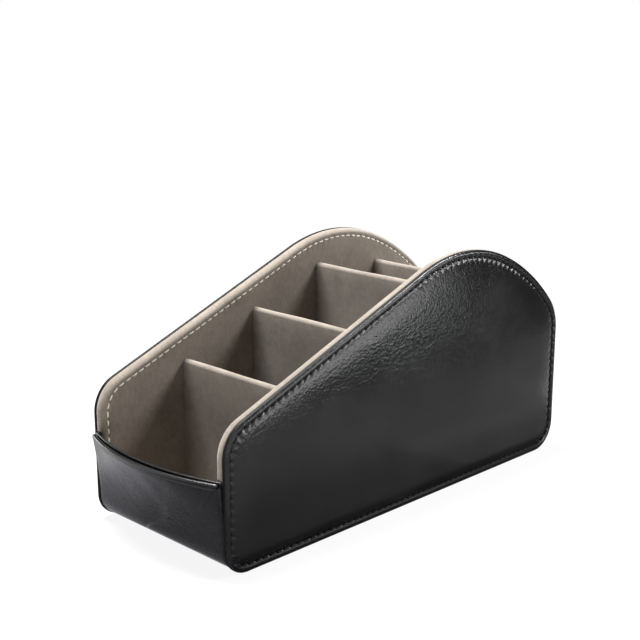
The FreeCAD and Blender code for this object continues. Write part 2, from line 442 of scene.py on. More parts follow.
# %% A finish, node by node
class Finish:
    """A node graph for one new material, or for a world that is passed in."""

    def __init__(self, name, owner=None):
        self.owner = owner or bpy.data.materials.new(name)
        self.owner.use_nodes = True
        self.tree = self.owner.node_tree
        self.tree.nodes.clear()

    def node(self, kind, settings=None, inputs=None, output=0):
        node = self.tree.nodes.new("ShaderNode" + kind)
        for key, value in (settings or {}).items():
            setattr(node, key, value)
        for key, value in (inputs or {}).items():
            if isinstance(value, Amount):
                self.tree.links.new(value.socket, node.inputs[key])
            else:
                node.inputs[key].default_value = value
        return Amount(self, node.outputs[output]) if node.outputs else None

    def place(self, stretch=(1.0, 1.0, 1.0), turn=(0.0, 0.0, 0.0)):
        """Object coordinates, stretched and turned by a Mapping node."""
        place = self.node("TexCoord", output="Object")
        return self.node("Mapping", inputs={"Vector": place, "Rotation": turn, "Scale": stretch})

    def noise(self, place, size, detail=2.0, rough=0.5, warp=0.0):
        """Soft noise from 0 to 1 whose features are about size across, in metres."""
        return self.node("TexNoise", inputs={
            "Vector": place, "Scale": 1 / size, "Detail": detail, "Roughness": rough,
            "Distortion": warp})

    def cells(self, place, size, feature):
        """Distance within cells about size across, in metres."""
        return self.node("TexVoronoi", {"feature": feature}, {"Vector": place, "Scale": 1 / size})

    def blend(self, share, first, second):
        """A colour between two colours, each red, green and blue."""
        return self.node("Mix", {"data_type": "RGBA"},
                         {0: share, 6: (*first, 1), 7: (*second, 1)}, output=2)

    def bump(self, height, distance, strength=1.0):
        return self.node("Bump", inputs={
            "Height": height, "Distance": distance, "Strength": strength})

    def seen(self):
        """1 for rays from the camera, gloss or glass, and 0 for light that falls on things."""
        rays = [self.node("LightPath", output="Is %s Ray" % kind)
                for kind in ("Camera", "Glossy", "Transmission")]
        return rays[0].at_least(rays[1]).at_least(rays[2])

    def show(self, surface, output="OutputMaterial"):
        """Link a shader to the output, and hand back the material or world."""
        self.node(output, inputs={"Surface": surface})
        return self.owner

    def done(self, **inputs):
        """The shader itself. Names follow the Principled shader's sockets, with _ for a space."""
        named = {key.replace("_", " "): value for key, value in inputs.items()}
        return self.show(self.node("BsdfPrincipled", None, named))


print("helpers of a finish:", [name for name in vars(Finish) if not name.startswith("_")])

# %% [markdown]
# ## Black leather
#
# The covering is embossed leather with a semi-gloss dressing. Its pores are soft and about 1 mm
# across, with lazier folds and rubbed patches at 9 to 28 mm. In such dark leather, the grain only
# shows where the reflected light changes, so the pores are one coarse octave of noise under a low
# roughness. Finer octaves are smaller than a pixel of the picture, and only blur the gloss. Small
# Voronoi cells ride on the pores, their place nudged by noise so that they don't look like tiles.
# Their tops are rubbed, which makes them a little paler and glossier than the lines between.

# %% Leather
def leather(name, pebble=0.5 * MM, depth=0.11 * MM, gloss=0.13, creases=0.3):
    """Black leather. Its gloss is the least roughness, and creases the weight of its folds."""
    finish = Finish(name)
    place = finish.place()
    nudge = finish.node("TexNoise", None, {
        "Vector": place, "Scale": 1 / (2.2 * MM), "Detail": 1.0}, output=1)
    nudged = finish.node("VectorMath", {"operation": "MULTIPLY_ADD"},
                         {0: nudge, 1: (0.35 * MM, 0.35 * MM, 0.35 * MM), 2: place})
    tops = finish.cells(nudged, pebble, "DISTANCE_TO_EDGE").step_up(0.0, 0.22)
    small = finish.cells(nudged, pebble * 0.45, "F1")
    pores = finish.noise(nudged, pebble * 2.0, 1.0, 0.35)
    fine = finish.noise(place, 0.3 * MM, 1.0)
    folds = finish.noise(finish.place((1.0, 1.0, 2.2), (0.5, 0.0, 0.0)), 9 * MM, 3.0, 0.5, 0.8)
    grain = finish.bump(tops * 0.02 + (1 - small) * 0.01 + pores + fine * 0.005, depth)
    fold_bump = finish.bump(folds * folds.step_up(0.35, 0.75), 0.25 * MM * creases, 0.6)
    finish.tree.links.new(fold_bump.socket, grain.socket.node.inputs["Normal"])
    wear = finish.noise(place, 28 * MM, 3.0, 0.55).step_up(0.35, 0.75)
    roughness = gloss + 0.05 * wear + 0.08 * (1 - tops) + (fine - 0.5) * 0.06
    shade = (wear * 0.55 + tops * 0.35 + fine * 0.1).at_most(1.0)
    colour = finish.blend(shade, (0.003, 0.003, 0.003 * 1.04), (0.007, 0.007, 0.007 * 1.05))
    return finish.done(Base_Color=colour, Roughness=roughness, Normal=grain)


panel_leather = leather("panel_leather")
strip_leather = leather("strip_leather", 0.6 * MM, 0.12 * MM, 0.22, 0.8)
edge_leather = leather("edge_leather", 0.5 * MM, 0.05 * MM, 0.20, 0.3)
print("leather:", panel_leather.name, strip_leather.name, edge_leather.name)

# %% [markdown]
# ### Edge paint
#
# Leather workers paint the raw edges of covered card with a matt black paint, laid on in thin coats.
# Without it the narrow edges of the sides would shine like their faces and look too pale. Faint
# streaks run along the edge, as a brush or roller leaves them.

# %% Edge paint
def edge_paint(name):
    """The matt black paint on a board's narrow edge."""
    finish = Finish(name)
    streaks = finish.noise(finish.place((4.0, 1.0, 1.0)), 2.0 * MM, 3.0, 0.6)
    fine = finish.noise(finish.place(), 0.3 * MM, 2.0)
    colour = finish.blend(streaks, (0.003, 0.003, 0.003), (0.008, 0.008, 0.008))
    return finish.done(Base_Color=colour, Roughness=0.38 + 0.1 * streaks,
                       Specular_IOR_Level=0.12, Normal=finish.bump(fine, 0.03 * MM))


board_paint = edge_paint("board_edge_paint")
print("edge paint:", board_paint.name)

# %% [markdown]
# ## Suede
#
# The lining is a taupe microsuede: no gloss at all, a fine nap, and cloudy patches where the nap
# was brushed one way or the other. Sheen gives the pale bloom that suede has at its edges.

# %% Suede
def suede(name, deep, pale):
    finish = Finish(name)
    place = finish.place()
    clouds = finish.noise(place, 16 * MM, 4.0, 0.6, 0.4)
    strokes = finish.noise(finish.place((1.0, 2.0, 1.0), (0.7, 0.0, 0.0)), 3.2 * MM, 3.0, 0.6)
    nap = finish.noise(place, 0.8 * MM, 3.0, 0.7)
    share = (clouds.step_up(0.3, 0.7) * 0.35 + strokes.step_up(0.3, 0.7) * 0.25
             + nap.step_up(0.3, 0.7) * 0.4).at_most(1.0)
    return finish.done(
        Base_Color=finish.blend(share, deep, pale), Roughness=0.95, Specular_IOR_Level=0.15,
        Sheen_Weight=0.25, Sheen_Roughness=0.5,
        Normal=finish.bump(nap * 0.7 + strokes * 0.3, 0.10 * MM))


lining_suede = suede("lining_suede", (0.112, 0.094, 0.076), (0.205, 0.176, 0.147))
print("suede:", lining_suede.name)

# %% [markdown]
# ## Sewing thread
#
# Both threads are twisted cord. Twist shows as slanted bands, so the colour and the bump follow a
# wave laid across each stitch. The black one is waxed into the leather and hardly shines.

# %% Thread
def thread(name, deep, pale, rough, gloss):
    finish = Finish(name)
    place = finish.place(turn=(0.6, 0.0, 0.0))
    twist = finish.node("TexWave", {"wave_type": "BANDS", "bands_direction": "Y"},
                        {"Vector": place, "Scale": 1 / (4.0 * MM), "Distortion": 1.0})
    fuzz = finish.noise(finish.place(), 0.25 * MM, 2.0)
    colour = finish.blend(twist * 0.6 + fuzz * 0.4, deep, pale)
    return finish.done(Base_Color=colour, Roughness=rough + fuzz * 0.15,
                       Specular_IOR_Level=gloss, Normal=finish.bump(twist, 0.06 * MM))


black_thread = thread("black_thread", (0.002, 0.002, 0.002), (0.010, 0.010, 0.011), 0.55, 0.15)
cream_thread = thread("cream_thread", (0.62, 0.56, 0.47), (0.86, 0.82, 0.74), 0.7, 0.4)
print("thread:", black_thread.name, cream_thread.name)

# %% [markdown]
# ## Covered boards
#
# A side is a board covered in leather. The cover is turned over the edge, glued and sewn all round,
# so the leather rolls over the rim, dips into the stitch line, puckers at every stitch and then
# rises to a flat, slightly padded field. The piece is traced as one line, filled, drawn out to its
# thickness and bevelled. Then the outer face is inset ring by ring, close together where the leather
# changes height, and the field is cut into a grid by bisecting it.

# %% Building a covered slab
GRID = 4 * MM


def fill_and_draw(depth):
    """Fill the open line and draw it out along X to a closed slab."""
    bpy.ops.mesh.select_all(action="SELECT")
    bpy.ops.mesh.edge_face_add()
    bpy.ops.mesh.extrude_region_move(TRANSFORM_OT_translate={"value": (depth, 0.0, 0.0)})
    face_out()


def cut_across(low, high, axis, spacing, top=math.inf):
    """Bisect the open piece into even bands along one axis, up to a height."""
    cuts = int((high[axis] - low[axis]) / spacing)
    for cut in range(1, cuts):
        place, normal = [0.0, 0.0, 0.0], [0.0, 0.0, 0.0]
        place[axis] = low[axis] + (high[axis] - low[axis]) * cut / cuts
        normal[axis] = 1.0
        if place[axis] <= top:
            bpy.ops.mesh.select_all(action="SELECT")
            bpy.ops.mesh.bisect(plane_co=place, plane_no=normal, use_fill=False)


def covered_slab(name, x_face, x_back, inset, rounds, rings):
    """A slab between two x planes whose face is ringed near its edge and gridded in the middle."""
    piece = trace(name, x_face, side_stretches(inset))
    fill_and_draw(x_back - x_face)
    for x, width, segments in rounds:
        pick(piece, "EDGE", lambda e: all_near(e, 0, x) and len(e.link_faces) == 2)
        bpy.ops.mesh.bevel(offset=width, segments=segments, profile=0.5, affect="EDGES")
    pick(piece, "FACE", lambda f: all_near(f, 0, x_face) and len(f.verts) > 20)
    for gap in rings:
        bpy.ops.mesh.inset(thickness=gap * MM, depth=0.0)
    bpy.ops.mesh.hide(unselected=True)
    for axis in (1, 2):
        cut_across(board_low, board_high, axis, GRID)
    bpy.ops.mesh.reveal(select=False)
    bpy.ops.object.mode_set(mode="OBJECT")
    return piece


print("grid of the field: %.0f mm" % (GRID / MM))

# %% [markdown]
# ### How the cover dips
#
# Four things lower the cover below its padded field: the line that the seam pulls in, a tuck at
# every needle hole, the leather inside the seam, which rises to the field until 16 mm from the edge,
# and on the boards the rim outside the seam, which rolls over the edge. A slow wander makes no two
# tucks alike. A push takes shares from 0 to 1, so the depths are divided by one greatest depth.

# %% Depth of the cover
DEEPEST = 1.7 * MM
PAD_TO = 16 * MM


def dip(co, seam, pitch_line, depth, pucker, pad, roll=0.0):
    """How deep the cover lies below its padded field at one point, as a share of DEEPEST."""
    inside = nearest_on(EDGE, co.y, co.z)[1]
    travel = nearest_on(pitch_line, co.y, co.z)[0]
    hole = 0.5 + 0.5 * math.cos(2 * math.pi * travel / STITCH_PITCH)
    wander = 0.5 + 0.5 * math.sin(travel * 71.0 + 2.0 * math.sin(travel * 29.0))
    line = depth * bell(inside, seam, 0.60 * MM) * (1.0 - 0.40 * hole)
    tuck = pucker * hole ** 2 * bell(inside, seam + 1.0 * MM, 1.1 * MM) * (0.6 + 0.4 * wander)
    tuck += 0.4 * pucker * hole ** 3 * bell(inside, seam - 0.8 * MM, 0.6 * MM)
    rolled = roll * (1 - smoothstep(0.0, seam - 1.6 * MM, inside))
    field = pad * (1 - within(inside, seam, PAD_TO)) ** 2
    return (line + tuck + field * smoothstep(seam - 0.6 * MM, seam, inside) + rolled) / DEEPEST


print("deepest dip of a cover: %.1f mm" % (DEEPEST / MM))

# %% [markdown]
# ### The right board
#
# The outer face gets rings at the rolled rim, the stitch line and the pad. The edge itself has a
# fine groove, where the turned-over leather meets the layer inside it.

# %% Right board
RINGS = (0.45, 0.45, 0.45, 0.4, 0.3, 0.25, 0.25, 0.25, 0.25,
         0.35, 0.5, 0.7, 0.9, 1.2, 1.5, 1.8, 2.0)
GROOVE = (0.55, 0.72, 0.89)
right_board = covered_slab(
    "right_board_leather", HALF_WIDTH, STRIP_HALF, 0.0,
    [(HALF_WIDTH, 0.65 * MM, 5), (STRIP_HALF, 0.45 * MM, 3)], RINGS)
choose(right_board)
bpy.ops.object.mode_set(mode="EDIT")
for place in GROOVE:
    pick(right_board, "FACE", lambda f: abs(f.normal.x) < 0.1)
    bpy.ops.mesh.bisect(plane_co=(STRIP_HALF + place * MM, 0, 0), plane_no=(1, 0, 0))
bpy.ops.object.mode_set(mode="OBJECT")
push(right_board, -0.28 * MM, "NORMAL",
     lambda c: float(abs(c.x - STRIP_HALF - GROOVE[1] * MM) < 0.02 * MM))
push(right_board, -DEEPEST, "X",
     lambda c: (dip(c, SEAM_INSET, seam_line, 0.55 * MM, 0.55 * MM, 0.60 * MM, 0.50 * MM)
                if c.x > HALF_WIDTH - 0.9 * MM else 0.0))
finish_piece(right_board, panel_leather, ["right_side_board"])

# %% [markdown]
# ### Painting the board's edge
#
# The paint covers the narrow edge and, at the foot of the board, the border under the seam. The
# faces are chosen by their place, because their normals turn with the groove and the rounded rims.

# %% Painted faces
FOOT = 4.0 * MM


def on_rim(co):
    """True on a board's narrow edge, and on its border under the lowest seam."""
    depth, inside = abs(co.x) - STRIP_HALF, nearest_on(EDGE, co.y, co.z)[1]
    narrow = TOUCH < depth < 1.56 * MM and inside < 0.5 * MM
    under_seam = depth > 1.5 * MM and inside < SEAM_INSET and co.z < FOOT
    return narrow or under_seam


def paint_edge(piece):
    """Give the narrow faces round a finished board their matt paint."""
    piece.data.materials.append(board_paint)
    choose(piece)
    bpy.ops.object.mode_set(mode="EDIT")
    painted = pick(piece, "FACE", lambda f: on_rim(f.calc_center_median()))
    piece.active_material_index = 1
    bpy.ops.object.material_slot_assign()
    bpy.ops.object.mode_set(mode="OBJECT")
    print("painted edge faces:", painted)


paint_edge(right_board)

# %% [markdown]
# ### The left board
#
# It is the same piece seen in a mirror. A mirrored mesh is inside out, so its faces are turned
# outwards again by the finishing step. Keys of the original whose names start with rig_ are deleted
# from the copy.

# %% Left board
def mirrored(piece, name):
    """A copy of a piece on the other side, with a mesh of its own."""
    choose(piece)
    bpy.ops.object.duplicate()
    twin = bpy.context.object
    twin.name = name
    twin.data.name = name
    bpy.ops.object.mode_set(mode="EDIT")
    bpy.ops.mesh.select_all(action="SELECT")
    bpy.ops.transform.mirror(constraint_axis=(True, False, False), center_override=(0, 0, 0))
    bpy.ops.object.mode_set(mode="OBJECT")
    for key in [key for key in twin.keys() if key.startswith("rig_")]:
        del twin[key]
    return twin


left_board = mirrored(right_board, "left_board_leather")
finish_piece(left_board, panel_leather, ["left_side_board"])
paint_edge(left_board)

# %% [markdown]
# ## The room that the strip takes up
#
# The linings run down behind the front wall and end inside the folded strip. So the strip's inner
# face is needed before the linings are. Seen from the side it is two folds with the base between
# them, a back wall that stands upright, and a front wall that leans and bows forward, more and more
# towards its top. A block in the shape of all that lies outside it will trim the linings.

# %% The strip's inner face
STRIP_INSET = 1.0 * MM
STRIP_THICK = 3.0 * MM
INNER_INSET = STRIP_INSET + STRIP_THICK
WALL_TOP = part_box("front_edge_roll")[0].z
BACK_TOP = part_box("back_edge_roll")[0].z
FRONT_CENTRE = (FRONT + FOLD_FRONT, FOLD_FRONT)
BACK_CENTRE = (REAR - FOLD_BACK, FOLD_BACK)
WALL_LEAN = 3.5 * MM
WALL_BOW = 9.0 * MM
INNER_BOW = 8.0 * MM
TOP_THICK = 3.1 * MM


def bow_share(z):
    """How much of the front wall's lean and bow has built up at height z, from 0 to 1."""
    return 1 - math.cos(within(z, FOLD_FRONT, WALL_TOP) * UP)


def across(x):
    """1 in the middle of the bow and 0 at its ends."""
    return max(0.0, 1 - (x / STRIP_HALF) ** 2)


def wall_inner_y(z, x):
    """Inner face of the front wall."""
    leaning = STRIP_INSET - WALL_LEAN + TOP_THICK
    return FRONT + INNER_INSET + bow_share(z) * (leaning - INNER_INSET - INNER_BOW * across(x))


def folds_and_base(inset):
    """Both folds and the base between them, drawn in by inset."""
    front, back = FOLD_FRONT - inset, FOLD_BACK - inset
    return [
        ("arc", FRONT_CENTRE, front, math.pi, 1.5 * math.pi),
        ("run", on_arc(FRONT_CENTRE, front, -UP), on_arc(BACK_CENTRE, back, -UP)),
        ("arc", BACK_CENTRE, back, -UP, 0.0),
    ]


def runs_through(points):
    return [("run", here, there) for here, there in zip(points, points[1:])]


def strip_space(name, x_start, x_end):
    """A block that fills all outside the strip's inner face, up to the tops of the walls."""
    outside, lip, clearance = 20 * MM, 2.9 * MM, 0.1 * MM
    inset = INNER_INSET + clearance
    heights = [FOLD_FRONT + (WALL_TOP - FOLD_FRONT) * step / 6 for step in range(7)]
    wall = [(wall_inner_y(z, STRIP_HALF) + clearance, z) for z in heights]
    corner = (FRONT - outside, WALL_TOP + lip)
    stretches = runs_through([corner, (wall[-1][0], WALL_TOP + lip)] + wall[::-1])
    stretches += folds_and_base(inset)
    stretches += runs_through([
        on_arc(BACK_CENTRE, FOLD_BACK - inset, 0.0), (REAR - inset, BACK_TOP + lip),
        (REAR + outside, BACK_TOP + lip), (REAR + outside, -outside),
        (FRONT - outside, -outside), corner])
    block = trace(name, x_start, stretches, step=40 * MM)
    fill_and_draw(x_end - x_start)
    bpy.ops.object.mode_set(mode="OBJECT")
    return block


print("front wall: leans %.1f mm and bows %.1f mm" % (WALL_LEAN / MM, WALL_BOW / MM))

# %% [markdown]
# ## Padded linings
#
# Behind each board lies a padded suede lining. Its free rim is a soft roll, sewn down 4 mm inside
# the edge. The pad is thin and glued to its board, so it keeps the board's outline exactly. It is
# built as the board was, with a larger round on the rim and a seam pressed in by displacement, where
# a loose cushion would be simulated. Then a Boolean modifier cuts the strip's block away from it.

# %% Right lining
LINING_SEAM = 3.9 * MM
lining_line = side_stretches(LINING_SEAM)
LINING_RINGS = (0.4, 0.3, 0.3, 0.25, 0.3, 0.35, 0.45, 0.7, 0.9, 1.2, 1.6)
right_lining = covered_slab(
    "right_lining_suede", POCKET_HALF, STRIP_HALF, 0.1 * MM,
    [(POCKET_HALF, 2.6 * MM, 7), (STRIP_HALF, 0.9 * MM, 3)], LINING_RINGS)
push(right_lining, DEEPEST, "X",
     lambda c: (dip(c, LINING_SEAM, lining_line, 0.60 * MM, 0.22 * MM, 0.30 * MM)
                if c.x < POCKET_HALF + 1.0 * MM else 0.0))
block = strip_space("strip_space", POCKET_HALF - 5 * MM, STRIP_HALF + 5 * MM)
choose(right_lining)
cut = right_lining.modifiers.new("cut", "BOOLEAN")
cut.operation = "DIFFERENCE"
cut.solver = "EXACT"
cut.object = block
bpy.ops.object.modifier_apply(modifier="cut")
bpy.data.objects.remove(block)
finish_piece(right_lining, lining_suede, ["right_side_lining"])

# %% [markdown]
# ### The left lining
#
# The two linings are cut from the same pattern, one turned over, so the left one is a mirrored copy.

# %% Left lining
left_lining = mirrored(right_lining, "left_lining_suede")
finish_piece(left_lining, lining_suede, ["left_side_lining"])

# %% [markdown]
# ## The folded strip
#
# One strip of leather-covered card makes the front wall, the base and the back wall. Its section
# starts at the top of the front wall, is drawn down, spun round the front fold, drawn along the
# base, spun round the rear fold and drawn up the back. Short steps near both top edges keep them
# crisp.

# %% Section and folds
def draw_out(move, steps):
    """Extrude the selected end in even steps."""
    for _ in range(steps):
        value = tuple(part / steps for part in move)
        bpy.ops.mesh.extrude_region_move(TRANSFORM_OT_translate={"value": value})


def strip_section(name, z, columns):
    """The strip's section at a height: a long plane with rounded outer shoulders."""
    middle = FRONT + STRIP_INSET + STRIP_THICK / 2
    piece = start(bpy.ops.mesh.primitive_plane_add, name, size=1.0)
    bpy.ops.transform.resize(value=(2 * STRIP_HALF, STRIP_THICK, 1.0))
    bpy.ops.transform.translate(value=(0.0, middle, z))
    pick(piece, "VERT", lambda v: v.co.y < middle)
    bpy.ops.mesh.bevel(offset=1.2 * MM, segments=4, profile=0.5, affect="VERTICES")
    for column in range(1, columns):
        place = STRIP_HALF * (2 * column / columns - 1) * 0.985
        bpy.ops.mesh.select_all(action="SELECT")
        bpy.ops.mesh.bisect(plane_co=(place, 0, 0), plane_no=(1, 0, 0), use_fill=False)
    bpy.ops.mesh.select_all(action="SELECT")
    bpy.ops.mesh.select_mode(type="FACE")
    return piece


FRONT_EDGE, BACK_EDGE = 1.2 * MM, 0.5 * MM
strip = strip_section("folded_strip_leather", WALL_TOP, 44)
draw_out((0.0, 0.0, -FRONT_EDGE), 5)
draw_out((0.0, 0.0, -(WALL_TOP - FOLD_FRONT - FRONT_EDGE)), 20)
bpy.ops.mesh.spin(steps=10, angle=-UP, center=(0, *FRONT_CENTRE), axis=(1, 0, 0))
draw_out((0.0, REAR - FRONT - FOLD_FRONT - FOLD_BACK, 0.0), 30)
bpy.ops.mesh.spin(steps=10, angle=-UP, center=(0, *BACK_CENTRE), axis=(1, 0, 0))
draw_out((0.0, 0.0, BACK_TOP - FOLD_BACK - BACK_EDGE), 14)
draw_out((0.0, 0.0, BACK_EDGE), 2)
face_out()
bpy.ops.object.mode_set(mode="OBJECT")
print("strip:", len(strip.data.vertices), "points")

# %% [markdown]
# ### Lean, bow and soft waves
#
# The front part is leaned and bowed out, most at the top and not at all at the fold, as card does
# when its top edge is pushed forward. Three smaller moves follow: a fine crease just under the top
# edge, lazy waves in the leather of the outer face, and a lower front that stands out a little more.

# %% Bowed front wall
LEAN = WALL_LEAN + WALL_BOW


def through(co):
    """0 on the strip's outer face and 1 on its inner face, in the front wall."""
    return within(co.y - FRONT - STRIP_INSET, 0.0, STRIP_THICK)


def in_wall(co):
    return co.y < FRONT + FOLD_FRONT and co.z > FOLD_FRONT


def ends_fade(x):
    """1 over the strip and 0 at its two side ends, which the boards cover."""
    return 1 - smoothstep(STRIP_HALF - 4 * MM, STRIP_HALF - 0.3 * MM, abs(x))


def lean(co):
    """Share of the whole lean and bow, outer and inner face each with its own bow."""
    bow = WALL_BOW + (INNER_BOW - WALL_BOW) * through(co)
    return bow_share(co.z) * (WALL_LEAN - 0.1 * MM * through(co) + across(co.x) * bow) / LEAN


def crease(co):
    outer = co.y < wall_inner_y(co.z, co.x) - 2 * MM
    return bell(co.z, WALL_TOP - 0.45 * MM, 0.35 * MM) * ends_fade(co.x) if outer else 0.0


def waves(co):
    """Slow waves on the outer face that fade out at the top edge, the fold and the ends."""
    wave = 0.5 + 0.5 * math.sin(co.x * 160 + co.z * 210 + 2 * math.sin(co.x * 90))
    upright = smoothstep(0, 8 * MM, WALL_TOP - co.z) * smoothstep(0, 12 * MM, co.z - FOLD_FRONT)
    return wave * upright * (1 - through(co)) * 0.6 * ends_fade(co.x)


def lower_front(co):
    ahead = FRONT + FOLD_FRONT - co.y
    return smoothstep(0.0, 8 * MM, ahead) * (1 - bow_share(co.z)) if ahead >= 0.0 else 0.0


for distance, direction, share in (
        (-LEAN, "Y", lean), (-0.6 * MM, "NORMAL", crease), (0.35 * MM, "NORMAL", waves)):
    push(strip, distance, direction, lambda c: share(c) if in_wall(c) else 0.0)
push(strip, -0.85 * MM, "Y", lower_front)
finish_piece(strip, strip_leather, ["wrap_strip"], smooth_angle=50)

# %% [markdown]
# ## Rolled edges
#
# The front wall is finished by two rolls: a round bead over the leather outside, and a thinner
# binding over the lining behind it, with a dark gap between. Each is one section, turned to the
# start of the bow and spun about the bow's centre.

# %% Front rolls
def roll_section(name, width, height, place, crown):
    """An upright section across Y with a rounded top, open in edit mode."""
    piece = start(bpy.ops.mesh.primitive_plane_add, name, size=1.0, rotation=(0, UP, 0))
    bpy.ops.transform.resize(value=(1.0, width, height))
    bpy.ops.transform.translate(value=place)
    pick(piece, "VERT", lambda v: v.co.z > place[2])
    bpy.ops.mesh.bevel(offset=width * crown, segments=6, profile=0.5, affect="VERTICES")
    return piece


def round_ends(piece, reach):
    """Bevel the rim of both end faces of the open roll."""
    pick(piece, "FACE", lambda f: len(f.verts) > 6)
    bpy.ops.mesh.region_to_loop()
    bpy.ops.mesh.bevel(offset=reach, segments=3, profile=0.5, affect="EDGES")


def bowed_roll(name, end_y, bow, half, width, height, crown):
    """A roll on the front wall, spun about the bow's centre."""
    front = end_y - bow
    centre_y = front + (half * half + bow * bow) / (2 * bow)
    piece = roll_section(name, width, height, (0.0, front + width / 2, WALL_TOP + height / 2), crown)
    pick(piece, "VERT", lambda v: v.co.z < WALL_TOP + height * 0.1)
    bpy.ops.mesh.bevel(offset=width * 0.18, segments=2, profile=0.5, affect="VERTICES")
    half_angle = math.asin(half / (centre_y - front))
    bpy.ops.mesh.select_all(action="SELECT")
    bpy.ops.mesh.select_mode(type="FACE")
    bpy.ops.transform.rotate(
        value=half_angle, orient_axis="Z", center_override=(0.0, centre_y, 0.0))
    bpy.ops.mesh.spin(steps=48, angle=-2 * half_angle, center=(0.0, centre_y, 0.0), axis=(0, 0, 1))
    face_out()
    round_ends(piece, width * 0.3)
    bpy.ops.object.mode_set(mode="OBJECT")
    return piece


RAIL_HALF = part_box("front_edge_roll")[1].x
WALL_END = FRONT + STRIP_INSET - WALL_LEAN
BINDING_WIDTH = 1.1 * MM
BEAD_CROWN, BINDING_CROWN = 0.46, 0.40
bead = bowed_roll("front_bead", WALL_END - 0.4 * MM, WALL_BOW, RAIL_HALF,
                  1.9 * MM, 2.1 * MM, BEAD_CROWN)
finish_piece(bead, edge_leather, ["front_edge_roll"])
binding = bowed_roll("front_binding", WALL_END + TOP_THICK - 0.1 * MM - BINDING_WIDTH, INNER_BOW,
                     STRIP_HALF - 0.2 * MM, BINDING_WIDTH, 2.5 * MM, BINDING_CROWN)
finish_piece(binding, edge_leather, ["front_inner_binding"])

# %% [markdown]
# ### Back rolls
#
# The back wall is straight, so its pair of rolls is drawn out along X instead of spun. Their place
# and size come from the boxes of their solids.

# %% Back rolls
def straight_roll(name, node, crown):
    """A roll drawn straight across, from a solid's box."""
    low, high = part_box(node)
    place = (low.x, (low.y + high.y) / 2, (low.z + high.z) / 2)
    piece = roll_section(name, high.y - low.y, high.z - low.z, place, crown)
    bpy.ops.mesh.select_all(action="SELECT")
    bpy.ops.mesh.select_mode(type="FACE")
    draw_out((high.x - low.x, 0.0, 0.0), 36)
    face_out()
    bpy.ops.object.mode_set(mode="OBJECT")
    finish_piece(piece, edge_leather, [node])


straight_roll("back_bead", "back_edge_roll", BEAD_CROWN)
straight_roll("back_binding", "back_inner_binding", BINDING_CROWN)

# %% [markdown]
# ## Suede sheets inside the strip
#
# One sheet covers the front fold, the floor, the rear fold and the back wall, and a second one the
# bowed wall. Both are glued down, so they are thin and follow what is behind them. Each is drawn as a
# line, extruded across the caddy and given its thickness by a Solidify modifier.

# %% Folded sheet
SHEET = 1.2 * MM


def across_sheet(piece, columns):
    """Extrude a line of points from one lining to the other."""
    bpy.ops.mesh.select_all(action="SELECT")
    draw_out((2 * POCKET_HALF, 0.0, 0.0), columns)
    face_out()
    bpy.ops.object.mode_set(mode="OBJECT")


def thicken(piece, thickness):
    choose(piece)
    wall = piece.modifiers.new("thickness", "SOLIDIFY")
    wall.thickness = thickness
    wall.offset = 0.0
    bpy.ops.object.modifier_apply(modifier="thickness")


middle_inset = INNER_INSET + SHEET / 2
sheet_line = folds_and_base(middle_inset) + [
    ("run", on_arc(BACK_CENTRE, FOLD_BACK - middle_inset, 0.0), (REAR - middle_inset, BACK_TOP))]
folded_sheet = trace("folded_lining_suede", -POCKET_HALF, sheet_line, step=3 * MM, closed=False)
across_sheet(folded_sheet, 24)
thicken(folded_sheet, SHEET)
sheet_length = line_total(sheet_line)
finish_piece(folded_sheet, lining_suede, ["folded_lining"])
print("folded sheet %.0f x %.0f mm" % (2 * POCKET_HALF / MM, sheet_length / MM))

# %% [markdown]
# ### The front sheet
#
# The wall behind this sheet curves two ways, so the suede is stretched a little as it is glued. The
# sheet starts flat and upright and is then pushed against the wall's inner face, point by point. Its
# cut size is measured along its top and up its middle, before it gets its thickness.

# %% Front sheet
front_sheet_y = FRONT + INNER_INSET + 0.3 * MM + SHEET / 2
front_line = [("run", (front_sheet_y, FOLD_FRONT), (front_sheet_y, WALL_TOP))]
front_sheet = trace("front_lining_suede", -POCKET_HALF, front_line, step=2 * MM, closed=False)
across_sheet(front_sheet, 28)
push(front_sheet, -1.0, "Y", lambda c: FRONT + INNER_INSET - wall_inner_y(c.z, c.x))


def line_length(piece, test, order):
    """Length of the line through the points that pass a test, in order of one axis."""
    points = sorted((c.co.copy() for c in piece.data.vertices if test(c.co)),
                    key=lambda co: co[order])
    return sum((b - a).length for a, b in zip(points, points[1:]))


sheet_width = line_length(front_sheet, lambda co: abs(co.z - WALL_TOP) < TOUCH, 0)
sheet_height = line_length(front_sheet, lambda co: abs(co.x) < TOUCH, 2)
thicken(front_sheet, SHEET)
finish_piece(front_sheet, lining_suede, ["front_lining"])
print("front sheet %.1f x %.1f mm" % (sheet_width / MM, sheet_height / MM))

# %% [markdown]
# ## Dividers
#
# Each divider is a card wrapped in suede, with the fold at the top. The four differ only in height,
# so one function makes them from the box of their solid. Its faces are cut into bands, so that they
# can swell and sink a little, as glued suede does.

# %% Dividers
def divider(number):
    node = "divider_%d" % number
    low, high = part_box(node)
    thick = high.y - low.y
    piece = start(bpy.ops.mesh.primitive_cube_add, node + "_suede", size=1.0)
    bpy.ops.transform.resize(value=tuple(high - low))
    bpy.ops.transform.translate(value=tuple((high + low) / 2))
    pick(piece, "EDGE", lambda e: (
        all_near(e, 2, high.z) and abs(e.verts[0].co.x - e.verts[1].co.x) > thick))
    bpy.ops.mesh.bevel(offset=thick * 0.47, segments=8, profile=0.5, affect="EDGES")
    cut_across(low, high, 0, 5 * MM)
    cut_across(low, high, 2, 6 * MM, high.z - thick)
    bpy.ops.object.mode_set(mode="OBJECT")
    push(piece, -0.35 * MM, "NORMAL",
         lambda c: (0.5 + 0.5 * math.sin(c.x * 120 + number) * math.cos(c.z * 90 + number)) * 0.8)
    finish_piece(piece, lining_suede, [node])


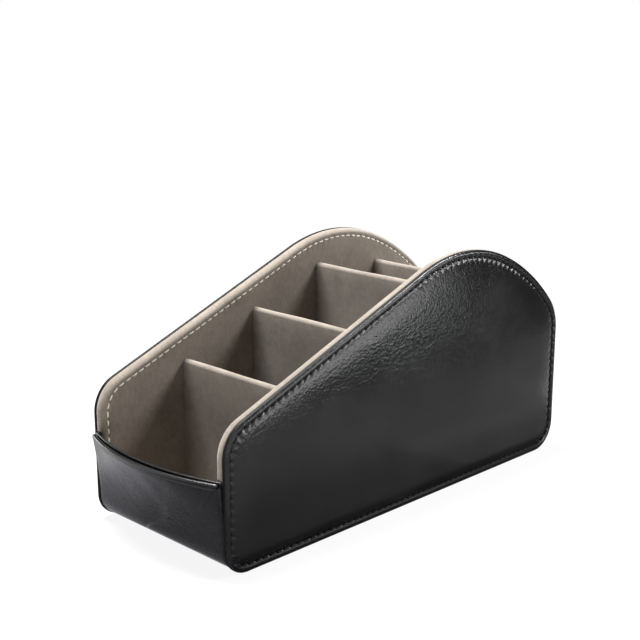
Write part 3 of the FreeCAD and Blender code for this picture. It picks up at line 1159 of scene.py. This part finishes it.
for number in (1, 2, 3, 4):
    divider(number)

# %% [markdown]
# ## Stitches
#
# A machine stitch is a short length of thread that rises from one needle hole, lies a little slanted
# on the leather and dives into the next. One stitch is modelled from a cylinder: its ends are drawn
# out, bent down and narrowed. It is then copied to every pitch along the stitch line, and each line of
# copies is joined to one piece.

# %% One stitch and a line of stitches
def one_stitch(name, length, radius, sink):
    """A stitch that lies along X with its top towards Z."""
    piece = start(bpy.ops.mesh.primitive_cylinder_add, name, vertices=8, radius=radius,
                  depth=length * 0.5, rotation=(0, UP, 0))
    for side in (-1, 1):
        for reach, drop, shrink in ((0.14, 0.25, 0.92), (0.11, 0.75, 0.7)):
            pick(piece, "FACE", lambda f: f.normal.x * side > 0.5 and len(f.verts) == 8)
            bpy.ops.mesh.extrude_region_move(
                TRANSFORM_OT_translate={"value": (side * reach * length, 0.0, -sink * drop)})
            bpy.ops.transform.resize(value=(1.0, shrink, shrink))
    bpy.ops.object.mode_set(mode="OBJECT")
    return piece


def stitch_line(name, line, x, outward, span, length, radius, slant, material):
    """Copies of one stitch along a line, between the two distances of span, joined to one piece."""
    pattern = one_stitch(name + "_stitch", length, radius, radius * 1.6)
    dice = random.Random(7)
    copies = []
    for index in range(int(math.floor((span[1] - span[0]) / STITCH_PITCH))):
        (y, z), way = place_on(line, span[0] + (index + 0.5) * STITCH_PITCH)
        choose(pattern)
        bpy.ops.object.duplicate()
        along, face = Vector((0.0, way[0], way[1])), Vector((outward, 0.0, 0.0))
        tilt = math.radians(slant + dice.uniform(-3.0, 3.0))
        first = along * math.cos(tilt) + face.cross(along) * math.sin(tilt)
        turned = Matrix((first, face.cross(first), face)).transposed().to_4x4()
        bpy.context.object.matrix_world = Matrix.Translation((x, y, z)) @ turned
        copies.append(bpy.context.object)
    bpy.data.objects.remove(pattern)
    choose(copies[0])
    for copy in copies:
        copy.select_set(True)
    bpy.ops.object.join()
    piece = bpy.context.object
    piece.name = name
    bpy.ops.object.transform_apply(location=True, rotation=True, scale=True)
    finish_piece(piece, material, smooth_angle=60)
    return piece


right_thread = stitch_line(
    "right_black_thread", seam_line, HALF_WIDTH - 0.62 * MM, 1.0,
    (0.0, line_total(seam_line) + STITCH_PITCH / 2), 3.6 * MM, 0.42 * MM, 9.0,
    black_thread)
left_thread = mirrored(right_thread, "left_black_thread")
finish_piece(left_thread, black_thread, smooth_angle=60)

# %% [markdown]
# ### Cream stitches on the linings
#
# The seam of a lining only runs where it can be seen, from just below the front wall's top round to
# the back wall. Its thread is thinner, its stitches shorter and not slanted.

# %% Cream stitches
lining_span = (nearest_on(lining_line, FRONT + LINING_SEAM, WALL_TOP - 8 * MM)[0],
               nearest_on(lining_line, REAR - LINING_SEAM, BACK_TOP + 3.5 * MM)[0])
right_cream = stitch_line(
    "right_cream_thread", lining_line, POCKET_HALF + 0.40 * MM, -1.0,
    lining_span, 3.0 * MM, 0.36 * MM, 0.0, cream_thread)
left_cream = mirrored(right_cream, "left_cream_thread")
finish_piece(left_cream, cream_thread, smooth_angle=60)

# %% [markdown]
# ## Floor
#
# The floor and the backdrop are white because the camera and the gloss see them at full strength,
# not because more light falls on the caddy. Part of the floor's own shading is kept near the caddy,
# so that it still has its shadow.

# %% Floor
def white_stage(name):
    finish = Finish(name)
    matt = finish.node("BsdfDiffuse", None, {"Color": (0.82, 0.82, 0.82, 1)})
    white = finish.node("Emission", None, {"Color": (1, 1, 1, 1), "Strength": 1.0})
    place = finish.node("TexCoord", output="Object")
    away = finish.node("VectorMath", {"operation": "LENGTH"}, {0: place}, output="Value")
    whiteness = finish.seen() * (away.step_up(0.30, 0.80) * 0.1 + 0.9)
    return finish.show(finish.node("MixShader", None, {0: whiteness, 1: matt, 2: white}))


floor = start(bpy.ops.mesh.primitive_plane_add, "floor", size=6.0)
bpy.ops.object.mode_set(mode="OBJECT")
floor.data.materials.append(white_stage("pale_floor"))
print("floor:", floor.name)

# %% [markdown]
# ## World
#
# The world is white to the camera and to gloss, and a weak, even light for everything else. That
# fills the shadows between the dividers a little, as the white walls of a studio do.

# %% World
FILL_LIGHT = 0.14
world = bpy.data.worlds.new("studio")
bpy.context.scene.world = world
sky = Finish("studio", world)
strength = sky.seen() * (1.0 - FILL_LIGHT) + FILL_LIGHT
backdrop = sky.node("Background", None, {"Color": (1, 1, 1, 1), "Strength": strength})
sky.show(backdrop, "OutputWorld")
view_settings = bpy.context.scene.view_settings
view_settings.view_transform = "Standard"
print("fill light:", FILL_LIGHT)

# %% [markdown]
# ## Lamps
#
# One large soft lamp above lights the suede and the floor. The small ones hardly light the caddy at
# all. They stand where the gloss of the right side, of its rear rim or of the front wall sees them,
# because on black leather a highlight is a reflected lamp.

# %% Lamps
def lamp(name, place, target, size, power):
    """A rectangular soft lamp aimed at a point."""
    data = bpy.data.lights.new(name, "AREA")
    data.shape = "RECTANGLE"
    data.size, data.size_y = size
    data.energy = power
    piece = bpy.data.objects.new(name, data)
    piece.location = place
    piece.rotation_euler = (Vector(target) - Vector(place)).to_track_quat("-Z", "Y").to_euler()
    bpy.context.scene.collection.objects.link(piece)


lamp("above", (-0.20, -0.07, 0.88), (0.0, 0.0, 0.08), (0.34, 0.34), 33.0)
lamp("left_low", (-0.80, -0.22, 0.08), (0.0, -0.08, 0.04), (0.26, 0.14), 1.1)
lamp("right_low", (0.308, 0.164, 0.047), (0.05, 0.106, 0.047), (0.235, 0.085), 0.205)
lamp("right_high", (0.414, 0.318, 0.443), (0.0475, 0.0, 0.09), (0.30, 0.05), 3.6)
lamp("right_mid", (0.450, 0.362, 0.186), (0.0475, 0.0, 0.09), (0.40, 0.06), 0.9)
lamp("rear_low", (0.13, 0.275, 0.006), (0.1301, 0.275, 0.5), (0.03, 0.12), 0.004)

# %% [markdown]
# ## Cards
#
# A photographer stands grey and black cards round a glossy thing, so that it reflects those instead
# of the white room. These do the same, and only reflections see them. Most lie just above the floor,
# where the upright panels mirror them: the nearer a card, the lower the part of the panel that
# reflects it. The rest stand upright behind, or lean over the left side.

# %% Cards
BLACK = 0.03


def card(name, place, size, strength=BLACK, right=None, blue=1.0, lean=0, turn=0):
    """A card that only reflections see. It can change in tone from its left to its right edge."""
    piece = start(bpy.ops.mesh.primitive_plane_add, "card_" + name, size=1.0)
    bpy.ops.transform.resize(value=(size[0], size[1], 1.0))
    bpy.ops.object.mode_set(mode="OBJECT")
    piece.location = place
    piece.rotation_euler = (math.radians(lean), 0.0, math.radians(turn))
    finish = Finish(piece.name + "_finish")
    right = strength if right is None else right
    share = finish.node("SeparateXYZ", None, {"Vector": finish.place()}) / size[0] + 0.5
    tone = finish.blend(share, (strength, strength, strength * blue), (right, right, right * blue))
    glow = finish.node("Emission", None, {"Color": tone, "Strength": 1.0})
    piece.data.materials.append(finish.show(glow))
    piece.visible_camera = piece.visible_diffuse = piece.visible_shadow = False


card("foot", (0.0662, -0.05, 0.0002), (0.038, 0.50), 0.04)
card("near", (0.085, -0.12, 0.002), (0.060, 0.36), 0.20)
card("corner", (0.0715, 0.125, 0.002), (0.033, 0.13), 0.34)
card("side", (0.20, -0.12, 0.003), (0.17, 0.36), 0.45)
card("behind", (0.1265, 0.125, 0.004), (0.077, 0.13), 0.45)
card("behind_far", (0.1325, 0.275, 0.005), (0.065, 0.17), 0.42)
card("mid", (0.225, 0.21, 0.004), (0.12, 0.30), 0.10)
card("far", (0.46, 0.60, 0.004), (0.62, 0.48))
card("right_high", (0.59, 0.58, 0.40), (1.10, 0.76), lean=90, turn=-43)
card("front", (0.145, -0.305, 0.002), (0.32, 0.39), 0.28, 0.28, 1.12)
card("front_left", (-0.0475, -0.305, 0.003), (0.065, 0.39), 1.10, 0.28, 1.09)
card("rear", (0.30, 0.80, 0.25), (0.80, 0.50), lean=90, turn=-20)
card("left_high", (-0.50, 0.28, 0.55), (1.00, 1.00), lean=50, turn=-60)
card("left_near", (-0.125, 0.15, 0.002), (0.150, 0.50), 0.12)
card("left", (-0.40, 0.15, 0.002), (0.39, 0.50), 0.35)
card("back_near", (-0.02, 0.28, 0.003), (0.13, 0.30), 0.20)

# %% [markdown]
# Leather and suede must not grow the caddy past its solid model.
